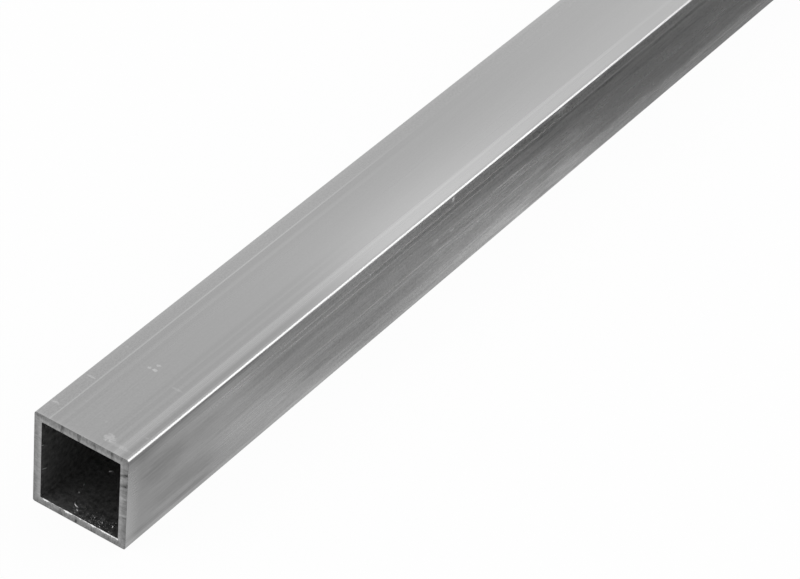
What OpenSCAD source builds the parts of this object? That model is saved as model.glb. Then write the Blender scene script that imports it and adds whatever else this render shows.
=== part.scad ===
// Square hollow section, sold as straight stock and lying flat on one wall.
// Millimetres. X runs along the tube, Z is up, and the origin is at the
// centre of the face that it rests on.

/* [Section] */
// Outside width and height of the square
side = 25; // [15:0.5:60]
// Thickness of the four walls
wall = 2; // [1:0.1:4]
// Radius on the four outside corners
outer_corner_r = 0.5; // [0.1:0.05:1]
// Radius in the four inside corners
inner_corner_r = 0.3; // [0.1:0.05:1]

/* [Stock] */
// Length between the two saw cuts
length = 300; // [100:5:2000]

/* [Hidden] */
// Clear width and height of the hollow
hollow = side - 2 * wall;
// Sides of a full circle at each corner arc
$fn = 48;

// A square of the given width, centred, with its four corners rounded.
module rounded_square(width, radius) {
    flat = width - 2 * radius;
    square([width, flat], center = true);
    square([flat, width], center = true);
    for (x = [-1, 1], y = [-1, 1])
        translate([x * flat / 2, y * flat / 2])
            circle(r = radius);
}

// The cut face: the outer square with the hollow taken out of it.
module tube_section() {
    difference() {
        rounded_square(side, outer_corner_r);
        rounded_square(hollow, inner_corner_r);
    }
}

// The section carried along X from one saw cut to the other, resting on Z = 0.
module square_tube() {
    color("silver")
        translate([0, 0, side / 2])
            rotate([90, 0, 90])
                linear_extrude(height = length, center = true)
                    tube_section();
}

square_tube();
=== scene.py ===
# Square aluminium tube as it comes from the mill and the saw, on a pale floor. Metres throughout.
import math

import bpy
import numpy as np
from mathutils import Matrix, Vector


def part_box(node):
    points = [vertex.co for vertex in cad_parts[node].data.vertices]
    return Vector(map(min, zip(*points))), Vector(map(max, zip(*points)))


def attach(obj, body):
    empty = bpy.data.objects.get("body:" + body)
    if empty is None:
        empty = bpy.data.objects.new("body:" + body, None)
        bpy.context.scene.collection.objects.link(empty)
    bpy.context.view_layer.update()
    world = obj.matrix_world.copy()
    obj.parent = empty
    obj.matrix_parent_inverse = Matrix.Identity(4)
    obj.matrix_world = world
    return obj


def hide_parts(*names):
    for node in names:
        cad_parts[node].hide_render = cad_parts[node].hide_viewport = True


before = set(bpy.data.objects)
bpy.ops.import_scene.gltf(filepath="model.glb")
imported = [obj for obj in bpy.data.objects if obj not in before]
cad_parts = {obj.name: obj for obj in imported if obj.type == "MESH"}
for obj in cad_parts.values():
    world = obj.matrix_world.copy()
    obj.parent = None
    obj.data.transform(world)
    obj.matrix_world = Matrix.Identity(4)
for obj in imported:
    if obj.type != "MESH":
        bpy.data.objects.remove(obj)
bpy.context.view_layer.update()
low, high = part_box("square_tube")
side = high.z - low.z  # outside width of the square
nearX = low.x  # the saw cut that faces the camera
farX = high.x
mm = 0.001
print("frame loaded: tube", round(side / mm, 2), "mm square,", round((farX - nearX) / mm, 1), "mm long")


# Camera

view = {
    "eye": (-18.2949, -14.0636, 20.9141),  # from the near cut's lowest middle point, in tube sides
    "turn": 31.263,  # degrees that it looks to the left of the tube's own line
    "down": 38.186,  # degrees below level
    "roll": 5.572,  # degrees
    "lens": 163.79,  # mm, on the sensor width below
    "sensor": 36.0,
    "clip": (0.01, 20.0),  # metres
}


def placeCamera():
    turn, down, roll = (math.radians(view[key]) for key in ("turn", "down", "roll"))
    ahead = Vector((math.cos(down) * math.cos(turn), math.cos(down) * math.sin(turn), -math.sin(down)))
    level = Vector((math.sin(turn), -math.cos(turn), 0.0))
    upright = level.cross(ahead)
    right = math.cos(roll) * level + math.sin(roll) * upright
    up = right.cross(ahead)
    data = bpy.data.cameras.new("photoView")
    data.lens = view["lens"]
    data.sensor_width = view["sensor"]
    data.clip_start, data.clip_end = view["clip"]
    camera = bpy.data.objects.new("photoView", data)
    bpy.context.scene.collection.objects.link(camera)
    turned = Matrix((right, up, -ahead)).transposed().to_4x4()
    eye = Vector((nearX, 0.0, 0.0)) + side * Vector(view["eye"])
    camera.matrix_world = Matrix.Translation(eye) @ turned
    bpy.context.scene.camera = camera


# Node sums: a socket that can be added, multiplied and so on

class Wire:
    def __init__(self, bench, socket):
        self.bench = bench
        self.socket = socket

    def sum(self, operation, *others):
        return self.bench.node("ShaderNodeMath", {"operation": operation}, [self, *others])

    def __add__(self, other):
        return self.sum("ADD", other)

    def __sub__(self, other):
        return self.sum("SUBTRACT", other)

    def __rsub__(self, other):
        return self.bench.node("ShaderNodeMath", {"operation": "SUBTRACT"}, [other, self])

    def __mul__(self, other):
        return self.sum("MULTIPLY", other)

    def __truediv__(self, other):
        return self.sum("DIVIDE", other)

    __radd__ = __add__
    __rmul__ = __mul__


class Bench:
    def __init__(self, name):
        self.material = bpy.data.materials.new(name)
        self.material.use_nodes = True
        self.tree = self.material.node_tree
        self.tree.nodes.clear()

    def node(self, kind, settings=None, values=None, out=0):
        made = self.tree.nodes.new(kind)
        for key, setting in (settings or {}).items():
            if key == "stops":
                self.fillRamp(made.color_ramp.elements, setting)
            else:
                setattr(made, key, setting)
        pairs = values.items() if isinstance(values, dict) else enumerate(values or [])
        for key, value in pairs:
            if isinstance(value, Wire):
                self.tree.links.new(value.socket, made.inputs[key])
            else:
                made.inputs[key].default_value = value
        return None if out is None else Wire(self, made.outputs[out])

    def fillRamp(self, stops, levels):
        # A new ramp has two stops: the second one goes, and the first one is moved.
        stops.remove(stops[1])
        for number, (place, grey) in enumerate(levels):
            stop = stops.new(place) if number else stops[0]
            stop.position = place
            stop.color = (grey, grey, grey, 1.0)

    def wallPlace(self):
        # Sides along from the near cut, and sides round from the left wall's foot. On a cut the first one is
        # the share of the wall's thickness instead.
        spot = self.node("ShaderNodeUVMap", {"uv_map": "wallMap"})
        return [self.node("ShaderNodeSeparateXYZ", None, [spot], out) for out in (0, 1)]

    def noise(self, x, y, fast, fine, detail=2.0, rough=0.5):  # 0 to 1, about 0.5
        spot = self.node("ShaderNodeCombineXYZ", None, [x * fast, y * fine])
        values = {"Vector": spot, "Scale": 1.0, "Detail": detail, "Roughness": rough}
        return self.node("ShaderNodeTexNoise", {"noise_dimensions": "2D"}, values)

    def slope(self, value, start, end, first=0.0, last=1.0):  # smooth step from first at start to last at end
        return self.node(
            "ShaderNodeMapRange",
            {"interpolation_type": "SMOOTHSTEP"},
            [value, start, end, first, last],
        )

    def span(self, value, start, end, soft):  # 1 between start and end, of which either may be None
        rise = 1.0 if start is None else self.slope(value, start - soft, start)
        fall = 1.0 if end is None else self.slope(value, end, end + soft, 1.0, 0.0)
        return rise * fall

    def patch(self, x, y, centre, size, ragged=0.0, core=0.06):  # 1 in an oval's core, 0 from its edge on
        dx, dy = (v.sum("MULTIPLY_ADD", 1.0 / s, -c / s) for v, c, s in zip((x, y), centre, size))
        return self.slope(dx.sum("MULTIPLY_ADD", dx, dy * dy) + ragged, core, 1.0, 1.0, 0.0)

    def tint(self, shade):  # a grey value as a colour
        return self.node("ShaderNodeCombineColor", None, [shade, shade, shade])

    def metal(self, colour, roughness, height=None, depth=0.0):
        values = {"Base Color": colour, "Roughness": roughness, "Metallic": 1.0}
        if height is not None:
            relief = {"Strength": 1.0, "Distance": depth, "Height": height}
            values["Normal"] = self.node("ShaderNodeBump", None, relief)
        shader = self.node("ShaderNodeBsdfPrincipled", None, values)
        self.node("ShaderNodeOutputMaterial", None, [shader], None)
        return self.material


# Skin: the whole tube as one closed surface

skinShape = {
    "wall": 2.0 * mm,
    "outerRadius": 0.5 * mm,
    "innerRadius": 0.3 * mm,
    "flatSteps": 150,  # faces across one wall, besides those on the die lines
    "stepRoom": 0.4,  # even steps nearer than this share of a step to a die line's own are left out
    "cornerSteps": 8,  # faces round one corner
    "stops": (0.05, 0.1, 0.2, 0.5, 2.0, 8.0, 30.0, 80.0),  # mm from a cut where the long faces end
    "cutSteps": 14,  # faces across the thickness of a wall
    "edgeRadius": 0.06 * mm,  # broken edge beside a saw cut
    "edgeSteps": 6,
}

dieLines = {  # fine ridges that the die left
    "ridges": (  # place round the tube, height in mm
        (0.22, 0.010), (0.71, 0.014), (0.845, 0.010), (1.157, 0.022), (1.29, 0.008), (1.845, 0.016),
        (2.157, 0.012), (2.22, 0.014), (2.555, 0.010), (2.61, 0.012), (2.87, 0.012), (3.36, -0.012),
        (3.80, -0.016),
    ),
    "width": 0.08 * mm,
    "steps": (-0.22, -0.13, -0.06, 0.0, 0.06, 0.13, 0.22),  # mm from a ridge's middle
}

sawMarks = {  # grooves across the cut faces: place round, slant through the wall, half width, strength
    "near": (
        (0.27, 0.02, 0.020, 0.30), (0.44, 0.00, 0.012, 0.20), (0.72, 0.01, 0.016, 0.35),
        (1.10, 0.01, 0.010, 0.35), (1.30, 0.00, 0.020, 0.95), (1.39, 0.01, 0.010, 0.30),
        (1.475, 0.01, 0.020, 0.85), (1.56, 0.00, 0.010, 0.30), (1.64, 0.01, 0.028, 0.60),
        (1.72, 0.00, 0.012, 0.35), (1.83, -0.01, 0.014, 0.90), (1.93, 0.00, 0.014, 0.40),
        (2.13, 0.03, 0.016, 0.45), (2.185, 0.040, 0.018, 1.15), (2.24, 0.03, 0.010, -0.45),
        (2.30, 0.040, 0.017, 1.20), (2.36, 0.02, 0.014, 0.40), (2.44, 0.02, 0.012, -0.60),
        (2.55, 0.02, 0.016, 0.35), (2.63, 0.03, 0.009, -0.80), (2.66, 0.03, 0.010, 0.60),
        (2.80, 0.01, 0.016, 0.35), (3.17, 0.00, 0.016, 0.55), (3.36, 0.00, 0.012, 0.35),
        (3.53, 0.00, 0.020, 0.70), (3.70, 0.00, 0.020, 0.75), (3.86, 0.00, 0.012, 0.35),
    ),
    "far": (
        (0.18, 0.02, 0.016, 0.6), (0.35, 0.01, 0.012, 0.9), (0.63, 0.02, 0.020, 0.5),
        (0.86, 0.01, 0.012, 0.8), (1.22, 0.00, 0.016, 0.7), (1.51, 0.01, 0.020, 0.9),
        (1.77, 0.00, 0.012, 0.5), (2.12, 0.03, 0.016, 0.8), (2.46, 0.02, 0.020, 0.5),
        (2.81, 0.02, 0.012, 0.9), (3.25, 0.00, 0.016, 0.6), (3.48, 0.01, 0.020, 0.8),
        (3.90, 0.00, 0.012, 0.6),
    ),
    "depth": 0.015 * mm,
    "roughness": 0.004 * mm,
    "seed": 5,
}

burr = {  # ragged edge that the saw left on the foot of the near mouth: a torn slope with a low lip on it
    "stretches": (  # round, round, share of the slope
        (3.00, 3.235, 1.0), (3.235, 3.285, 0.45), (3.285, 3.48, 0.95), (3.48, 3.59, 0.30),
        (3.59, 3.69, 1.0), (3.69, 3.885, 0.28), (3.885, 3.955, 0.9),
    ),
    "slope": 0.34 * mm,  # how far down the cut face the slope starts
    "back": 0.10,  # how much deeper into the tube than high it is
    "reach": 3.0 * mm,  # how far in the foot follows
    "soft": 0.008,  # sides round in which a stretch begins and ends
    "ragged": (0.80, 0.24, 0.26),  # mean share of the slope, how much coarse noise and fine noise change it
    "raggedLimits": (0.15, 1.5),
    "lip": 0.04 * mm,
    "everywhere": 0.02 * mm,  # lip of all inner edges
    "wavy": (0.6, 0.5),  # mean share of that lip, how much coarse noise changes it
    "width": 0.05 * mm,
    "lean": 50.0,  # degrees into the tube
    "brightFrom": 0.1 * mm,  # height at which the burr is all bright
    "seed": 11,
}


def ringShares():
    # Even steps across the flat of a wall, and closer ones over each die line.
    flat = side - 2 * skinShape["outerRadius"]
    lines = np.array([place % 1.0 for place, height in dieLines["ridges"]])
    close = (((lines - 0.5) * side / flat + 0.5)[:, None] + mm * np.array(dieLines["steps"]) / flat).ravel()
    even = np.linspace(0.0, 1.0, skinShape["flatSteps"] + 1)
    clear = np.abs(even[:, None] - close).min(1) > skinShape["stepRoom"] / skinShape["flatSteps"]
    clear[[0, -1]] = True
    return np.unique(np.round(np.concatenate([even[clear], close]), 4))


def sectionRing(half, radius):
    # A wall and the corner after it as complex numbers, then the same turned by a quarter three times.
    # Real is the tube's left, imaginary is up, and the rings start at the foot of the left wall.
    flat = (half - radius) * (2 * ringShares() - 1)
    turn = np.linspace(0.0, np.pi / 2, skinShape["cornerSteps"] + 1)[1:-1]
    quarter = np.concatenate([half + 1j * flat, (half - radius) * (1 + 1j) + radius * np.exp(1j * turn)])
    outward = np.concatenate([np.ones(len(flat)), np.exp(1j * turn)])
    passed = np.concatenate([0.5 + flat / (2 * half), 1.0 + (4 * turn / np.pi - 1.0) * radius / (2 * half)])
    walls = np.arange(4)[:, None]
    spin = 1j ** walls
    return (spin * quarter).ravel(), (spin * outward).ravel(), (walls + passed).ravel()


def skinPath():
    # Round the wall's thickness: along the outside, over the far cut, back along the inside and over the near
    # cut, with quarter circles between them. Gives each station's depth (x), its distance from the outside
    # (inward) and its kind: 0 outside, 1 cut, 2 inside.
    wall, radius = skinShape["wall"], skinShape["edgeRadius"]
    stops = mm * np.array((0.0,) + skinShape["stops"])
    straight = np.concatenate([nearX + radius + stops, (farX - radius - stops)[::-1]])
    turn = np.linspace(0.0, np.pi / 2, skinShape["edgeSteps"] + 1)[1:-1]
    sine, cosine = radius * np.sin(turn), radius * np.cos(turn)
    share = 0.5 - 0.5 * np.cos(np.linspace(0.0, np.pi, skinShape["cutSteps"] + 1))
    across = radius + (wall - 2 * radius) * share
    legs = [
        (straight, np.zeros(len(straight)), 0),
        (farX - radius + sine, radius - cosine, 1),
        (np.full(len(across), farX), across, 1),
        (farX - radius + cosine, wall - radius + sine, 1),
        (straight[::-1], np.full(len(straight), wall), 2),
        (nearX + radius - sine, wall - radius + cosine, 1),
        (np.full(len(across), nearX), across[::-1], 1),
        (nearX + radius - cosine, radius - sine, 1),
    ]
    kinds = np.concatenate([np.full(len(x), kind) for x, inward, kind in legs])
    return np.concatenate([leg[0] for leg in legs]), np.concatenate([leg[1] for leg in legs]), kinds


def softNoise(count, reach, seed):
    # One seeded value for each place of the ring, smoothed by a bell over reach of them, with a spread of 1.
    raw = np.random.default_rng(seed).normal(size=count)
    bell = np.exp(-(np.arange(-3 * reach, 3 * reach + 1) / reach) ** 2)
    bell = np.roll(np.pad(bell, (0, count - len(bell))), -3 * reach)
    smooth = np.real(np.fft.ifft(np.fft.fft(raw) * np.fft.fft(bell)))
    return smooth / smooth.std()


def sawDepth(around, inward, marks):
    # Each groove is a bell across its own line, which slants on its way through the wall.
    place, slant, half, strength = np.array(marks).T
    share = (inward / skinShape["wall"] - 0.5)[:, None, None]
    apart = (around[:, :, None] - place - slant * share + 2.0) % 4.0 - 2.0
    return np.exp(-(apart / half) ** 2) @ strength


def burrShare(around):
    # The stretches times two sizes of noise, for the slope, and a soft wave, for the small lip.
    coarse, fine = (softNoise(len(around), reach, burr["seed"] + reach) for reach in (5, 1))
    mean, coarsely, finely = burr["ragged"]
    ragged = np.clip(mean + coarsely * coarse + finely * fine, *burr["raggedLimits"])
    whole = np.zeros(len(around))
    for start, end, share in burr["stretches"]:
        inside = np.minimum(around - start, end - around)
        whole = whole + share * (0.5 + 0.5 * np.tanh(inside / burr["soft"]))
    mean, coarsely = burr["wavy"]
    return ragged * whole, mean + coarsely * coarse


def makeSkin(looks):
    # Each point goes from the outer ring towards the inner one by its station's share of the wall. Ridges
    # lift it, saw grooves push it into the cut, and the burr draws it back and inwards.
    wall, half = skinShape["wall"], side / 2
    outer, outward, around = sectionRing(half, skinShape["outerRadius"])
    inner = sectionRing(half - wall, skinShape["innerRadius"])[0]
    x, inward, kind = skinPath()
    ridgeAt, heights = np.array(dieLines["ridges"]).T
    ridges = mm * (np.exp(-((around[:, None] - ridgeAt) * side / dieLines["width"]) ** 2) @ heights)
    share = (inward / wall)[:, None]
    ring = (outer + outward * ridges) * (1 - share) + inner * share
    # places on the cuts are measured straight along each wall, as the saw went
    wallOf = np.floor(around)
    straight = wallOf + (ring * (-1j) ** wallOf).imag / side + 0.5
    place = np.where((kind == 1)[:, None], straight, around)
    # the cuts are grooved into the metal, and the near mouth's foot carries the burr
    cutZone = 1.1 * skinShape["edgeRadius"]  # reaches just past a cut's broken edges
    nearCut, farCut = ((kind == 1) & (np.abs(x - end) < cutZone) for end in (nearX, farX))
    nearSaw, farSaw = (sawDepth(place, inward, sawMarks[end]) for end in ("near", "far"))
    marks = nearSaw * nearCut[:, None] + farSaw * farCut[:, None]
    scratch = np.abs(softNoise(len(around), 1, sawMarks["seed"])) * (nearCut | farCut)[:, None]
    cutIn = sawMarks["depth"] * np.maximum(marks, 0.0) + sawMarks["roughness"] * scratch
    share, wavy = burrShare(around)
    follow = np.clip(1.0 - (x[:, None] - nearX) / burr["reach"], 0.0, 1.0)
    torn = np.maximum(burr["slope"] * share - (wall - inward)[:, None], 0.0) * follow
    lip = np.exp(-(np.hypot(x - nearX, wall - inward) / burr["width"]) ** 2)[:, None]
    lip = lip * (burr["lip"] * share + burr["everywhere"] * np.clip(wavy, 0.0, 2.0))
    lean = math.radians(burr["lean"])
    intoMetal = np.where(farCut, -1.0, 1.0)[:, None]
    depth = x[:, None] + intoMetal * cutIn + burr["back"] * torn + math.sin(lean) * lip
    ring = ring - outward * math.cos(lean) * lip
    points = np.stack([depth, ring.real, ring.imag + half], -1)
    # the map is what wallPlace reads, for each face's four corners
    stations, places = ring.shape
    j, i = (part.ravel() for part in np.meshgrid(np.arange(stations), np.arange(places), indexing="ij"))
    nextJ, nextI = (j + 1) % stations, (i + 1) % places
    rows, columns = np.array([j, j, nextJ, nextJ]), np.array([i, nextI, nextI, i])
    corners = (rows * places + columns).T
    faceKind = np.where(kind[nextJ] == kind[j], kind[j], 1)
    cutReach, longReach = inward / wall, (x - nearX) / side
    first, last = (np.where(faceKind == 1, cutReach[k], longReach[k]) for k in (j, nextJ))
    ownPlace = np.where(faceKind == 1, straight[rows, columns], around[columns])
    ownPlace[1:3] += 4.0 * (i + 1 == places)
    wallMap = np.stack([np.array([first, first, last, last]).T, ownPlace.T], -1)
    layers = {"sawMark": marks, "burrBright": np.clip((torn + lip) / burr["brightFrom"], 0.0, 1.0)}
    return gridMesh("tubeSkin", points, corners, wallMap, faceKind, looks, layers)


def gridMesh(name, points, corners, wallMap, kinds, looks, layers):
    mesh = bpy.data.meshes.new(name)
    mesh.from_pydata(points.reshape(-1, 3), [], corners)
    mesh.polygons.foreach_set("material_index", kinds)
    mesh.polygons.foreach_set("use_smooth", np.ones(len(corners), bool))
    layer = mesh.uv_layers.new(name="wallMap")
    layer.uv.foreach_set("vector", wallMap.astype(np.float32).ravel())
    for key, values in layers.items():
        attribute = mesh.attributes.new(key, "FLOAT", "POINT")
        attribute.data.foreach_set("value", values.astype(np.float32).ravel())
    return placeMesh(name, mesh, looks)


def placeMesh(name, mesh, looks):
    for look in looks:
        mesh.materials.append(look)
    mesh.update()
    made = bpy.data.objects.new(name, mesh)
    bpy.context.scene.collection.objects.link(made)
    return made


# Swarf: the chips and flakes that lie just inside the near mouth

swarf = {
    "chips": (  # sides in, sides to the left, length, heading, curl, lift, width, thickness: mm and degrees
        (0.131, 0.112, 2.6, 56.0, -105.0, 0.12, 0.45, 0.36),
        (0.072, 0.070, 1.0, 66.0, -40.0, 0.08, 0.36, 0.26),
        (0.255, 0.205, 0.7, 40.0, 90.0, 0.10, 0.30, 0.12),
        (0.36, 0.235, 0.9, 20.0, 90.0, 0.12, 0.30, 0.12),
        (0.645, 0.160, 1.3, -47.0, 20.0, 0.12, 0.30, 0.22),
        (0.095, -0.290, 0.9, 10.0, 60.0, 0.20, 0.32, 0.12),
        (0.075, -0.19, 0.5, 20.0, 100.0, 0.10, 0.30, 0.16),
        (0.088, -0.102, 0.4, 30.0, 60.0, 0.05, 0.28, 0.20),
        (0.025, -0.205, 0.4, 100.0, 40.0, 0.05, 0.30, 0.22),
    ),
    "specks": 100,
    "speckArea": ((0.015, 0.16), (-0.33, 0.12)),
    "speckCrowd": 1.5,  # above 1 more of them lie close to the cut
    "speckLength": (0.08, 0.19),
    "speckWidth": (0.09, 0.15),
    "speckLift": (0.0, 0.04),
    "speckFlat": 0.6,  # thickness, as a share of such a width
    "ends": 0.3,  # share of its width that a chip keeps at its ends
    "twist": 50.0,  # degrees
    "sink": 0.02 * mm,  # how far the lowest point goes into the floor of the hollow
    "steps": 10,
    "sectionSteps": 6,
    "seed": 3,
}


def makeSwarf(look):
    # A chip's middle line turns steadily while it rises and falls like half a wave; its section is an oval
    # that twists and narrows to both ends.
    draw = np.random.default_rng(swarf["seed"])
    count = swarf["specks"]
    (x0, x1), (y0, y1) = swarf["speckArea"]
    specks = np.stack([
        x0 + (x1 - x0) * draw.uniform(0.0, 1.0, count) ** swarf["speckCrowd"],
        draw.uniform(y0, y1, count),
        draw.uniform(*swarf["speckLength"], count),
        draw.uniform(0, 360, count),
        draw.uniform(-90, 90, count),
        draw.uniform(*swarf["speckLift"], count),
        draw.uniform(*swarf["speckWidth"], count),
        draw.uniform(*swarf["speckWidth"], count) * swarf["speckFlat"],
    ], -1)
    chips = np.concatenate([np.array(swarf["chips"]), specks])[:, :, None]
    inX, left, length, heading, curl, lift, width, thick = (chips[:, k] for k in range(8))
    t = np.linspace(0.0, 1.0, swarf["steps"])
    aim = np.radians(heading + curl * (t - 0.5))
    steps = np.exp(1j * aim) * length * mm / len(t)
    line = (nearX + inX * side) + 1j * left * side + np.cumsum(steps, 1) - steps.sum(1, keepdims=True) / 2
    taper = swarf["ends"] + (1.0 - swarf["ends"]) * np.sin(np.pi * t)
    twist = np.radians(swarf["twist"]) * np.sin(aim * 2.0)
    turn = 2 * np.pi * np.arange(swarf["sectionSteps"]) / swarf["sectionSteps"]
    wide = (width * mm / 2 * taper)[:, :, None] * np.cos(turn)
    tall = (thick * mm / 2 * taper)[:, :, None] * np.sin(turn)
    across = wide * np.cos(twist)[:, :, None] - tall * np.sin(twist)[:, :, None]
    up = wide * np.sin(twist)[:, :, None] + tall * np.cos(twist)[:, :, None]
    flat = line[:, :, None] + 1j * np.exp(1j * aim)[:, :, None] * across
    height = (lift * mm * np.sin(np.pi * t))[:, :, None] + up
    height = height - height.min((1, 2), keepdims=True) + skinShape["wall"] - swarf["sink"]
    points = np.stack([flat.real, flat.imag, height], -1)
    chipCount, rows, ring = height.shape
    counts = map(np.arange, (chipCount, rows - 1, ring))
    k, j, i = (part.ravel() for part in np.meshgrid(*counts, indexing="ij"))
    start, nextI = (k * rows + j) * ring, (i + 1) % ring
    walls = np.stack([start + i, start + nextI, start + ring + nextI, start + ring + i], -1)
    starts = (np.arange(chipCount) * rows * ring)[:, None] + np.arange(ring)
    caps = np.concatenate([starts[:, ::-1], starts + (rows - 1) * ring])
    mesh = bpy.data.meshes.new("swarf")
    mesh.from_pydata(points.reshape(-1, 3), [], walls.tolist() + caps.tolist())
    mesh.polygons.foreach_set("use_smooth", np.ones(len(mesh.polygons), bool))
    return placeMesh("swarf", mesh, [look])


# Finishes. Noises are given as: per side along, per side round, detail, roughness.

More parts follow.
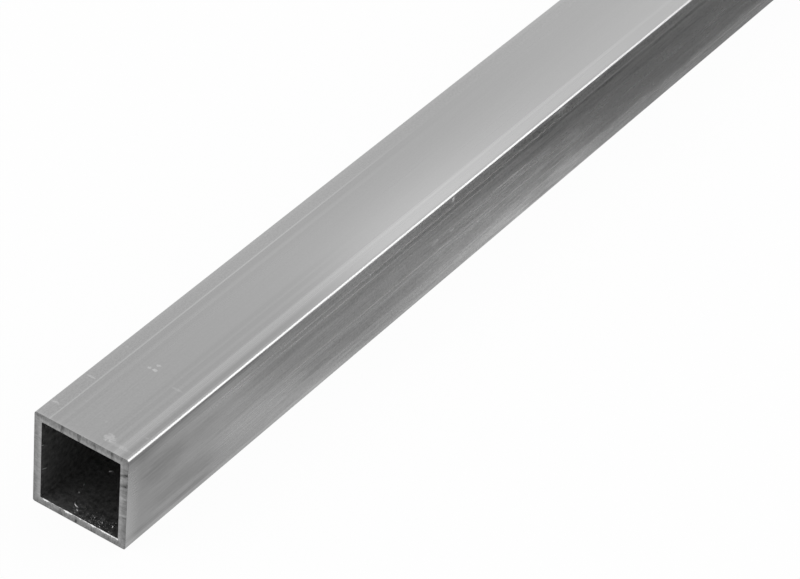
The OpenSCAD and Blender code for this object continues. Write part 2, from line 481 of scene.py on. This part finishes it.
wallFinish = {
    "shade": 0.52,
    "rough": 0.30,
    "roughGrain": 0.10,  # how much the first grain roughens
    "roughShade": 0.15,  # how much smoother brighter places are
    "spotRough": 0.5,  # how much rougher the small patches are
    "relief": 0.02 * mm,  # depth of the bump
    "fineRelief": 0.5,  # share of the fourth grain in the relief
    "grain": (  # per side along, per side round, share of shade on the right wall, on the others
        (0.25, 95.0, 0.18, 0.07), (0.18, 48.0, 0.24, 0.05), (0.10, 22.0, 0.18, 0.06),
        (1.6, 170.0, 0.14, 0.04), (0.9, 34.0, 0.34, 0.03), (2.4, 58.0, 0.34, 0.03),
        (38.0, 52.0, 0.40, 0.12),
    ),
    "seenWalls": (1.0, 3.0, 0.01),  # the top and right walls in sides round: from, to, softness
    "rightWall": (2.0, 3.0, 0.01),
    "rightFlat": (2.032, 3.0, 0.012),  # without the line of its corner, which stays clear of grain
    "sideGrain": (0.25, 2.6, 0.14, 1.0),  # from, to, share of the grain before and behind, on the right wall
    "otherGrain": (0.3, 1.9, 1.3, 0.45),  # the same on the other walls
    "hiddenGrain": 1.5,  # how much more of it the left and bottom walls have than the top one
    "farGrain": 0.30,  # more of the last one further along the right wall
    "farFrom": (2.2, 3.8),  # sides along where that begins and where it is all there
    "edgeGrain": 0.42,  # and more still under its upper edge
    "edgeReach": (2.12, 2.16),  # sides round where that begins to fade and where it ends
    "stripGrain": 0.15,  # and some along the top wall's left edge
    "strip": (1.03, 1.14, 0.02),  # from, to, softness
    "calm": (0.02, 0.22, 0.75),  # from, to, share of the grain that is missing beside the near cut
    "bands": (  # from, to, softness, first side, last side, fade in sides, change of shade
        (1.00, 1.035, 0.03, None, None, 1.0, 0.05),
        (1.154, 1.162, 0.006, None, 3.0, 3.0, 0.22),
        (1.17, 1.22, 0.015, None, 4.0, 3.0, -0.045),
        (1.245, 1.262, 0.01, None, 3.0, 3.0, 0.035),
        (1.275, 1.30, 0.01, None, 3.0, 3.0, -0.03),
        (1.63, 1.66, 0.02, None, 2.8, 1.0, -0.04),
        (1.70, 1.735, 0.015, None, 2.8, 1.0, -0.05),
        (1.785, 1.81, 0.015, None, 2.8, 1.0, -0.05),
        # painted reflection: lighter bands and a darker strip on the top wall beside the corner, with the
        # lighter die line at 1.845 among them
        (1.838, 1.895, 0.012, None, 2.5, 1.5, 0.10),
        (1.838, 1.860, 0.008, None, None, 2.0, 0.05),
        (1.834, 1.965, 0.010, 4.0, 7.0, 1.6, 0.08),
        (1.93, 1.960, 0.02, None, 1.8, 1.6, -0.13),
        # painted highlight on the upper side of the corner's bright line
        (1.968, 1.990, 0.004, None, 0.9, 2.0, 0.12),
        # painted shade: a darker strip on the right wall under the corner
        (2.025, 2.055, 0.015, None, 2.6, 1.5, -0.16),
        (2.025, 2.13, 0.02, None, 1.6, 0.8, -0.18),
        # painted reflection of the floor: a lighter strip at the right wall's foot
        (2.825, 3.00, 0.012, 0.7, 2.2, 0.6, 0.10),
        (2.945, 3.00, 0.012, 0.4, 4.2, 0.8, 0.20),
        (2.143, 2.156, 0.007, 2.6, None, 1.2, 0.24),
        (2.134, 2.154, 0.008, 4.6, 6.4, 0.8, 0.44),
        (2.163, 2.202, 0.010, 2.6, None, 1.0, -0.17),
        (2.213, 2.228, 0.008, 2.6, 5.0, 1.2, 0.24),
        # painted shade: the upper part of the right wall darker further along
        (2.03, 2.34, 0.04, 3.6, None, 1.4, -0.055),
        (2.04, 2.13, 0.02, 4.8, 9.3, 1.0, -0.25),
        (2.045, 2.122, 0.012, 6.2, 8.4, 0.8, -0.15),
        (2.168, 2.20, 0.010, 6.0, None, 1.2, -0.11),
        (2.168, 2.215, 0.010, 4.6, 6.4, 0.8, -0.12),
        (2.16, 2.36, 0.03, 6.5, 9.0, 0.8, -0.17),
        (2.88, 2.975, 0.02, 6.4, 8.2, 0.6, -0.10),
        (2.06, 2.10, 0.01, None, 0.9, 0.4, -0.09),
        (2.865, 2.90, 0.01, None, 1.0, 0.3, -0.09),
        # painted shade under the corner's bright line near the cut, then painted highlight on the corner's
        # arc
        (2.012, 2.035, 0.008, 0.9, 2.4, 0.6, -0.18),
        (1.985, 2.000, 0.004, None, 0.9, 2.5, 0.09),
        (2.008, 2.028, 0.006, 4.6, None, 0.8, 0.16),
        (2.14, 2.21, 0.02, None, 0.9, 0.4, -0.05),
        (2.21, 2.31, 0.03, 5.4, 8.2, 0.8, -0.06),
        (2.40, 2.47, 0.03, 5.0, 6.2, 0.5, 0.12),
        (2.24, 2.33, 0.03, 1.9, 3.6, 0.4, -0.10),
        (2.295, 2.31, 0.01, 2.8, 6.5, 1.5, -0.12),
        (2.36, 2.37, 0.008, 2.6, 5.5, 1.0, -0.07),
        (2.503, 2.517, 0.008, 2.2, 5.0, 0.8, -0.10),
        (2.43, 2.50, 0.03, 2.6, 5.0, 0.5, -0.06),
        (2.548, 2.560, 0.006, 2.6, 6.5, 0.8, 0.14),
        (2.566, 2.573, 0.005, 2.7, 5.5, 0.8, -0.08),
        (2.591, 2.610, 0.006, 2.6, 6.5, 0.8, 0.14),
        (2.64, 2.78, 0.02, 2.75, 4.2, 0.35, -0.11),
        # painted reflection of the floor: the lighter strip at the right wall's foot, further along
        (2.80, 3.00, 0.012, 3.4, None, 1.2, 0.13),
        (2.862, 2.878, 0.008, 3.5, None, 1.0, 0.07),
        (2.895, 2.925, 0.01, None, 1.0, 0.3, -0.09),
    ),
    "patches": (  # side along, place round, half length, half width, ragged, change of shade
        (0.135, 1.700, 0.060, 0.060, 1.0, 0.30),
        (0.10, 1.82, 0.026, 0.18, 0.9, 0.15),
        (0.205, 1.06, 0.018, 0.050, 1.1, 0.26),
        (0.658, 1.085, 0.016, 0.060, 1.1, 0.24),
        (1.070, 1.390, 0.018, 0.024, 0.9, 0.28),
        (1.071, 1.447, 0.022, 0.030, 0.9, 0.38),
        (1.141, 1.434, 0.022, 0.026, 0.9, 0.30),
        (0.989, 1.750, 0.018, 0.060, 0.9, 0.13),
        (0.33, 1.94, 0.016, 0.025, 0.9, 0.15),
        (0.28, 1.55, 0.018, 0.020, 0.9, 0.08),
        (1.167, 1.07, 0.018, 0.020, 0.9, 0.12),
        (0.52, 2.39, 0.36, 0.19, 0.6, -0.12),
        (0.791, 2.30, 0.75, 0.18, 0.8, -0.10),
        (0.841, 2.72, 0.65, 0.14, 0.9, -0.13),
        (0.940, 2.93, 0.40, 0.07, 0.5, -0.12),
        (1.137, 2.14, 1.00, 0.14, 0.3, 0.14),
        (1.731, 2.69, 0.90, 0.17, 0.3, 0.13),
        (2.720, 2.10, 0.60, 0.09, 0.5, -0.14),
        (3.511, 2.16, 0.020, 0.022, 0.9, 0.25),
        (4.831, 2.068, 0.024, 0.050, 0.3, 0.36),
        (5.321, 2.59, 0.026, 0.020, 0.7, 0.20),
        (4.589, 2.42, 0.06, 0.035, 0.9, 0.25),
        (6.448, 2.45, 0.16, 0.05, 0.9, 0.14),
        (5.835, 2.388, 0.42, 0.020, 0.06, 0.50),
        (5.786, 2.43, 0.75, 0.06, 0.3, 0.10),
        (6.676, 2.055, 0.10, 0.035, 0.9, 0.16),
        (4.866, 2.44, 0.045, 0.022, 0.9, 0.28),
        (6.399, 2.61, 0.12, 0.05, 0.9, 0.14),
        (6.982, 2.50, 0.16, 0.06, 0.9, 0.13),
        (7.042, 2.58, 0.12, 0.04, 0.9, 0.12),
        (7.516, 2.46, 0.40, 0.08, 0.9, 0.12),
        (9.643, 2.55, 0.30, 0.05, 0.9, 0.22),
    ),
    "streakyFrom": 0.2,  # half length from which a patch's edge is torn by streaks, not by crumbs
    "patchTear": 2.6,
    "mottle": (3.0, 7.0, 0.16, 0.40),  # from, to, amount before and behind, on the right wall
    "clouds": (4.0, 7.0, 0.05, 0.40),
    "noises": {
        "mottle": (5.0, 26.0, 3.0),
        "clouds": (1.5, 7.0, 3.0),
        "streaky": (2.0, 38.0, 4.0, 0.7),
        "crumbly": (42.0, 36.0, 3.0, 0.65),
    },
    # lighter beside the near cut on the top and right walls
    "cutSideLift": ((1.02, 1.96, 0.05, 0.09), (2.08, 2.95, 0.22, 0.31)),  # round, round, reach, change of shade
    "cutSideSoft": 0.05,
}

cutFinish = {
    # the sawn faces' grey, well below the walls': partly their rough cut, partly painted shade
    "shade": 0.255,
    "rough": 0.5,
    "relief": 0.03 * mm,
    "scratchNoise": (2.0, 70.0, 3.0),
    "cloudNoise": (2.2, 16.0, 3.0),
    "scratches": 0.90,  # changes of shade
    "clouds": 0.70,
    "markDark": 0.50,  # how much a groove darkens
    "markShare": (0.4, 1.2),  # share of that which is always there, share which comes with the clouds
    "leftLift": 0.08,  # how much brighter the left wall is
    "leftWall": (0.0, 0.96, 0.03),  # sides round: from, to, softness
    "footDrop": 0.11,  # how much darker the bottom wall is
    "bottomWall": (2.99, 3.05),  # sides round where that begins and where it is all there
    # painted highlight along the inner edge of the cut faces
    "innerHighlight": 0.30,  # how much brighter the inner edge is
    "innerPart": (0.45, 0.80),  # through the wall
    "outerDrop": 0.12,  # how much darker the outer edge is
    "outerPart": (0.15, 0.50, 1.0, 0.0),
    "lipFrom": (0.1, 0.9),  # brightness of the burr where its own finish begins and where it is all there
    "blotTear": 3.0,
    "blots": (  # through the wall, round, half sizes, change of shade
        (0.30, 2.198, 0.30, 0.012, -0.26), (0.30, 2.308, 0.30, 0.012, -0.26),
        (0.80, 1.285, 0.30, 0.014, -0.25), (0.75, 1.480, 0.25, 0.013, -0.25),
        (0.25, 2.445, 0.25, 0.010, 0.35), (0.30, 2.632, 0.35, 0.009, 0.35),
        (0.30, 3.53, 0.35, 0.020, -0.25), (0.55, 1.645, 0.40, 0.022, -0.20),
        (0.80, 1.835, 0.30, 0.014, -0.20),
    ),
    "lipShade": 0.95,
    "lipRough": 0.38,
}

insideFinish = {
    # a grey far below the outer walls': partly the duller inner surface, mostly painted shade of the hollow
    "shade": 0.27,
    "rough": 0.5,
    "relief": 0.1 * mm,
    "streakNoise": (0.8, 60.0),
    "mottleNoise": (20.0, 18.0, 3.0, 0.6),
    "streaks": 0.08,  # changes of shade
    "mottle": 1.6,
    # painted light: brighter further in, against the hollow's deeper darkness
    "deepLift": 0.6,  # how much brighter it is further in
    "deepFrom": (0.1, 1.6),  # sides along where that begins and where it is all there
    # painted shade on the hollow's foot beside the cut
    "footDrop": 0.3,  # how much darker the foot is beside the cut
    "footPlace": (3.0, 3.45, 0.2),  # sides round: from, to, softness
    "footReach": (0.1, 0.5, 1.0, 0.0),
    "tickLift": 3.0,
    "ticks": ((0.052, 0.370), (0.005, 0.685)),  # two scratches on the left wall
    "tickSize": (0.045, 0.010),
    "tickLean": 0.5,
}

swarfFinish = {
    "shade": 0.74,
    "rough": 0.45,
    "spotScale": 3000.0,  # per metre
    "spotShade": (0.7, 0.6),  # least share of the shade, how much the spots add
}


def millFinish():
    bench = Bench("millAluminium")
    along, around = bench.wallPlace()
    grainTable, noises = wallFinish["grain"], wallFinish["noises"]
    onRight = bench.span(around, *wallFinish["rightWall"])
    mottle = bench.noise(along, around, *noises["mottle"])
    grains = [bench.noise(along, around, fast, fine) - 0.5 for fast, fine, right, others in grainTable]
    flatOfRight = bench.span(around, *wallFinish["rightFlat"])
    onSide = flatOfRight * bench.slope(along, *wallFinish["sideGrain"])
    elsewhere = (1.0 - onRight) * bench.slope(along, *wallFinish["otherGrain"])
    hidden = 1.0 - bench.span(around, *wallFinish["seenWalls"])
    elsewhere = elsewhere + wallFinish["hiddenGrain"] * hidden
    amounts = [right * onSide + others * elsewhere for fast, fine, right, others in grainTable]
    change = sum(amount * grain for amount, grain in zip(amounts, grains))
    further = bench.slope(along, *wallFinish["farFrom"])
    nearEdge = bench.slope(around, *wallFinish["edgeReach"], wallFinish["edgeGrain"], 0.0)
    change = change + flatOfRight * further * grains[-1] * (wallFinish["farGrain"] + nearEdge)
    change = change + wallFinish["stripGrain"] * grains[-1] * bench.span(around, *wallFinish["strip"])
    clouds = bench.noise(along, around, *noises["clouds"])
    change = change + onRight * (mottle - 0.5) * bench.slope(along, *wallFinish["mottle"])
    change = change + onRight * (clouds - 0.5) * bench.slope(along, *wallFinish["clouds"])
    start, end, missing = wallFinish["calm"]
    calm = 1.0 - onRight * bench.slope(along, start, end, missing, 0.0)
    change = calm * change
    for start, end, soft, first, last, fade, amount in wallFinish["bands"]:
        change = change + amount * bench.span(around, start, end, soft) * bench.span(along, first, last, fade)
    streaky, crumbly = (bench.noise(along, around, *noises[key]) - 0.5 for key in ("streaky", "crumbly"))
    spots = 0.0
    for x, y, long, wide, ragged, amount in wallFinish["patches"]:
        torn = streaky if long > wallFinish["streakyFrom"] else crumbly
        oval = bench.patch(along, around, (x, y), (long, wide), wallFinish["patchTear"] * ragged * torn)
        change = oval.sum("MULTIPLY_ADD", amount, change)
        if torn is crumbly:
            spots = oval.sum("MULTIPLY_ADD", amount, spots)
    # lighter beside the near cut
    for start, end, reach, amount in wallFinish["cutSideLift"]:
        lifted = amount * bench.span(around, start, end, wallFinish["cutSideSoft"])
        change = change + lifted * bench.slope(along, 0.0, reach, 1.0, 0.0)
    shade = wallFinish["shade"] * (1.0 + change)
    rough = wallFinish["rough"] + wallFinish["roughGrain"] * calm * grains[0]
    rough = rough - wallFinish["roughShade"] * change + wallFinish["spotRough"] * spots
    colour = bench.tint(shade)
    relief = calm * (grains[0] + wallFinish["fineRelief"] * grains[3])
    return bench.metal(colour, rough, relief, wallFinish["relief"])


def sawnFinish():
    bench = Bench("sawnAluminium")
    across, around = bench.wallPlace()
    names = ({"attribute_name": key} for key in ("sawMark", "burrBright"))
    mark, lip = (bench.node("ShaderNodeAttribute", name, None, "Fac") for name in names)
    scratch, cloud = (bench.noise(across, around, *cutFinish[key]) for key in ("scratchNoise", "cloudNoise"))
    left = bench.span(around, *cutFinish["leftWall"]) * cutFinish["leftLift"]
    foot = bench.slope(around, *cutFinish["bottomWall"]) * cutFinish["footDrop"]
    # painted highlight along the inner edge
    inner = bench.slope(across, *cutFinish["innerPart"]) * cutFinish["innerHighlight"]
    outer = bench.slope(across, *cutFinish["outerPart"]) * cutFinish["outerDrop"]
    change = left + inner - outer - foot
    change = change + cutFinish["scratches"] * (scratch - 0.5) + cutFinish["clouds"] * (cloud - 0.5)
    always, clouded = cutFinish["markShare"]
    change = change - cutFinish["markDark"] * mark * (always + clouded * cloud)
    torn = cutFinish["blotTear"] * (scratch - 0.5)
    for x, y, deep, long, amount in cutFinish["blots"]:
        change = change + amount * bench.patch(across, around, (x, y), (deep, long), torn)
    plain = cutFinish["shade"] * (1.0 + change)
    bright = bench.slope(lip, *cutFinish["lipFrom"])
    shade = plain + bright * (cutFinish["lipShade"] - plain)
    rough = cutFinish["rough"] + bright * (cutFinish["lipRough"] - cutFinish["rough"])
    return bench.metal(bench.tint(shade), rough, scratch, cutFinish["relief"])


def hollowFinish():
    bench = Bench("insideAluminium")
    along, around = bench.wallPlace()
    noises = (insideFinish[key] for key in ("streakNoise", "mottleNoise"))
    streaks, mottle = (bench.noise(along, around, *noise) for noise in noises)
    deep = bench.slope(along, *insideFinish["deepFrom"])
    leaning, size = around + insideFinish["tickLean"] * along, insideFinish["tickSize"]
    tick = sum(bench.patch(along, leaning, place, size) for place in insideFinish["ticks"])
    # painted shade on the foot beside the near cut
    shadedFoot = bench.span(around, *insideFinish["footPlace"]) * bench.slope(along, *insideFinish["footReach"])
    change = insideFinish["streaks"] * (streaks - 0.5) + insideFinish["mottle"] * (mottle - 0.5)
    # painted light further in, and the two scratches
    change = change + insideFinish["deepLift"] * deep + insideFinish["tickLift"] * tick
    change = change - insideFinish["footDrop"] * shadedFoot
    shade = insideFinish["shade"] * (1.0 + change)
    return bench.metal(bench.tint(shade), insideFinish["rough"], mottle, insideFinish["relief"])


def chipFinish():
    bench = Bench("swarfAluminium")
    place = bench.node("ShaderNodeTexCoord", None, None, "Object")
    values = {"Vector": place, "Scale": swarfFinish["spotScale"], "Detail": 2.0}
    spots = bench.node("ShaderNodeTexNoise", None, values)
    least, more = swarfFinish["spotShade"]
    return bench.metal(bench.tint(swarfFinish["shade"] * (least + more * spots)), swarfFinish["rough"])


# Studio

studio = {
    "floorShade": 0.9,
    "floorLift": 0.95,  # how much of the floor's white is its own, which keeps the rest for the shadow
    "floorSize": 6.0,
    "floorHeight": -0.02 * mm,  # a hair under the tube, so that the two don't share a plane
    "worldShade": 0.72,
    "aim": 0.4,  # where the lamps point: this share of the way from the tube's middle to its near cut
}

softboxes = {  # direction from the point they aim at, upright direction, distance, width and height, radiance
    "keyBox": {
        "towards": (-0.45, 0.40, 0.80),
        "upright": (0, 0, 1),
        "away": 1.4,
        "size": (0.9, 0.9),
        "level": 1.5,
    },
    "edgeBox": {
        "towards": (0.61, -0.62, 0.40),
        "upright": (0, 0.8, 0.6),
        "away": 1.6,
        "size": (0.6, 2.0),
        "level": 1.9,
    },
}

shadeCards = {  # glowing cards that only reflections see
    "sideCard": {  # on the floor, at the right wall's foot
        "from": low.y - 0.16,
        "to": low.y,
        "height": 0.2 * mm,
        "before": 0.25,
        "beyond": 0.4,
        "shift": 0.3,  # sides from a place on the card back to the one that mirrors it
        "spread": 0.66,  # sides on the card for one side of the wall's height
    },
    "topCard": {  # over the top wall
        "from": -0.0095,
        "to": 0.4,
        "height": side + 0.014,
        "before": 0.1,
        "beyond": 0.4,
        "shift": 0.6,
        "left": 0.87,  # sides from the tube's middle to the place that mirrors in the left edge
    },
}

# Light of the cards. Slopes are given as: from, to, and where they aren't 0 and 1 the first and last value.

sideLight = {  # by sides along from the near cut and sides down from the top edge of the wall that mirrors it
    "levels": (  # sides along, level
        (0.0, 0.485), (0.6, 0.47), (1.2, 0.51), (1.8, 0.53), (2.3, 0.45), (2.8, 0.395), (3.5, 0.39),
        (4.5, 0.425), (5.3, 0.43), (6.5, 0.33), (7.5, 0.21), (8.5, 0.17), (10.0, 0.16), (14.0, 0.16),
    ),
    "slant": 1.4,  # sides that the levels shift along for one side down
    "down": (-0.05, 0.42, 0.62, 1.02),  # slope of the levels, down the wall
    "dim": (0.55, (3.0, 5.6), (0.08, 0.40, 1.0, 0.0)),  # share that goes, slope along, slope down
    "foot": (0.135, (0.74, 0.86), (2.6, 5.6)),  # level, slope down, slope along
    "upper": (0.12, (0.05, 0.45, 1.0, 0.0), (1.2, 1.9, 0.7)),  # level, slope down, span along
    "edge": (1.1, (-1.7, -0.75, 1.0, 0.0), (0.8, 4.2, 0.6, 1.85)),  # level, slope down, slope along
}

topLight = {  # by sides along from the near cut and sides from the left edge
    "level": 0.69,
    "rises": ((0.065, 0.3, 3.5), (0.06, 5.5, 9.5)),  # level, from, to
    "patch": (0.28, (0.3, 1.0), (2.2, 4.2), (4.4, 7.5, 1.0, 0.45)),  # level, slope across, slopes along
}


def makeFloor():
    bench = Bench("paleFloor")
    rays = (f"Is {ray} Ray" for ray in ("Camera", "Glossy", "Transmission"))
    camera, glossy, through = (bench.node("ShaderNodeLightPath", None, None, ray) for ray in rays)
    shade = studio["floorShade"]
    matt = bench.node("ShaderNodeBsdfDiffuse", None, {"Color": (shade, shade, shade, 1.0)})
    white = bench.node("ShaderNodeEmission", None, {"Color": (1.0, 1.0, 1.0, 1.0), "Strength": 1.0})
    seen = camera.sum("MAXIMUM", glossy).sum("MAXIMUM", through) * studio["floorLift"]
    both = bench.node("ShaderNodeMixShader", None, [seen, matt, white])
    bench.node("ShaderNodeOutputMaterial", None, [both], None)
    bench.material.cycles.emission_sampling = "NONE"
    reach = studio["floorSize"] / 2
    stagePlane("paleFloor", (-reach, reach), (-reach, reach), studio["floorHeight"], bench.material)


def stagePlane(name, alongX, alongY, height, look):
    (x0, x1), (y0, y1) = alongX, alongY
    mesh = bpy.data.meshes.new(name)
    corners = [(x0, y0, height), (x1, y0, height), (x1, y1, height), (x0, y1, height)]
    mesh.from_pydata(corners, [], [(0, 1, 2, 3)])
    made = placeMesh(name, mesh, [look])
    return made


def sideGlow(sides, down):
    # The levels, slanted, fading down the wall and dimmed further along, plus a foot, an upper part, an edge.
    bench = sides.bench
    reach = sideLight["levels"][-1][0]
    stops = [(place / reach, level) for place, level in sideLight["levels"]]
    slanted = (sides - sideLight["slant"] * (down - 0.5)) / reach
    base = bench.node("ShaderNodeValToRGB", {"stops": stops}, [slanted])
    level, downward, onward = sideLight["foot"]
    foot = level * bench.slope(down, *downward) * bench.slope(sides, *onward)
    level, downward, onward = sideLight["upper"]
    upper = level * bench.slope(down, *downward) * bench.span(sides, *onward)
    share, onward, downward = sideLight["dim"]
    further = 1.0 - share * bench.slope(sides, *onward) * bench.slope(down, *downward)
    level, downward, onward = sideLight["edge"]
    edge = level * bench.slope(down, *downward) * bench.slope(sides, *onward)
    return base * further * bench.slope(down, *sideLight["down"]) + foot + upper + edge


def topGlow(sides, across):
    # A level that rises twice along the tube, plus a patch on its right part.
    bench = sides.bench
    rise = topLight["level"]
    for level, start, end in topLight["rises"]:
        rise = rise + level * bench.slope(sides, start, end)
    level, sideways, rising, falling = topLight["patch"]
    patch = bench.slope(sides, *rising) * bench.slope(sides, *falling)
    return rise + level * patch * bench.slope(across, *sideways)


def makeCard(name, card):
    # Object coordinates are the tube's own. The top card is read where the photo's view mirrors it.
    bench = Bench(name)
    place = bench.node("ShaderNodeTexCoord", None, None, "Object")
    x, y = (bench.node("ShaderNodeSeparateXYZ", None, [place], out) for out in (0, 1))
    sides = (x - nearX) / side
    if name == "sideCard":
        glow = sideGlow(sides - card["shift"], 1.0 - (low.y - y) / (card["spread"] * side))
    else:
        glow = topGlow(sides - card["shift"], card["left"] - y / side)
    lit = bench.node("ShaderNodeEmission", None, {"Color": bench.tint(glow), "Strength": 1.0})
    bench.node("ShaderNodeOutputMaterial", None, [lit], None)
    bench.material.cycles.emission_sampling = "NONE"
    reachX = (nearX - card["before"], farX + card["beyond"])
    made = stagePlane(name, reachX, (card["from"], card["to"]), card["height"], bench.material)
    for kind in ("camera", "diffuse", "shadow", "transmission", "volume_scatter"):
        setattr(made, "visible_" + kind, False)


def makeSoftbox(name, box):
    data = bpy.data.lights.new(name, "AREA")
    data.shape = "RECTANGLE"
    data.size, data.size_y = box["size"]
    data.energy = box["level"] * math.pi * data.size * data.size_y  # a lamp's watts for that radiance
    lamp = bpy.data.objects.new(name, data)
    bpy.context.scene.collection.objects.link(lamp)
    aim = Vector((nearX * studio["aim"], 0.0, side))
    towards = Vector(box["towards"]).normalized()
    level = Vector(box["upright"]).cross(towards).normalized()
    turned = Matrix((level, towards.cross(level), towards)).transposed().to_4x4()
    lamp.matrix_world = Matrix.Translation(aim + box["away"] * towards) @ turned


def makeWorld():
    world = bpy.data.worlds.new("studioAir")
    world.use_nodes = True
    grey = studio["worldShade"]
    world.node_tree.nodes["Background"].inputs["Color"].default_value = (grey, grey, grey, 1.0)
    bpy.context.scene.world = world


bpy.context.scene.view_settings.view_transform = "Standard"
placeCamera()
skin = makeSkin([millFinish(), sawnFinish(), hollowFinish()])
chips = makeSwarf(chipFinish())
for piece in (skin, chips):
    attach(piece, "root")
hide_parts("square_tube")
print("skin made:", len(skin.data.polygons), "faces; swarf:", len(chips.data.polygons), "faces")
makeFloor()
for name, card in shadeCards.items():
    makeCard(name, card)
makeWorld()
for name, box in softboxes.items():
    makeSoftbox(name, box)
print("studio lit")
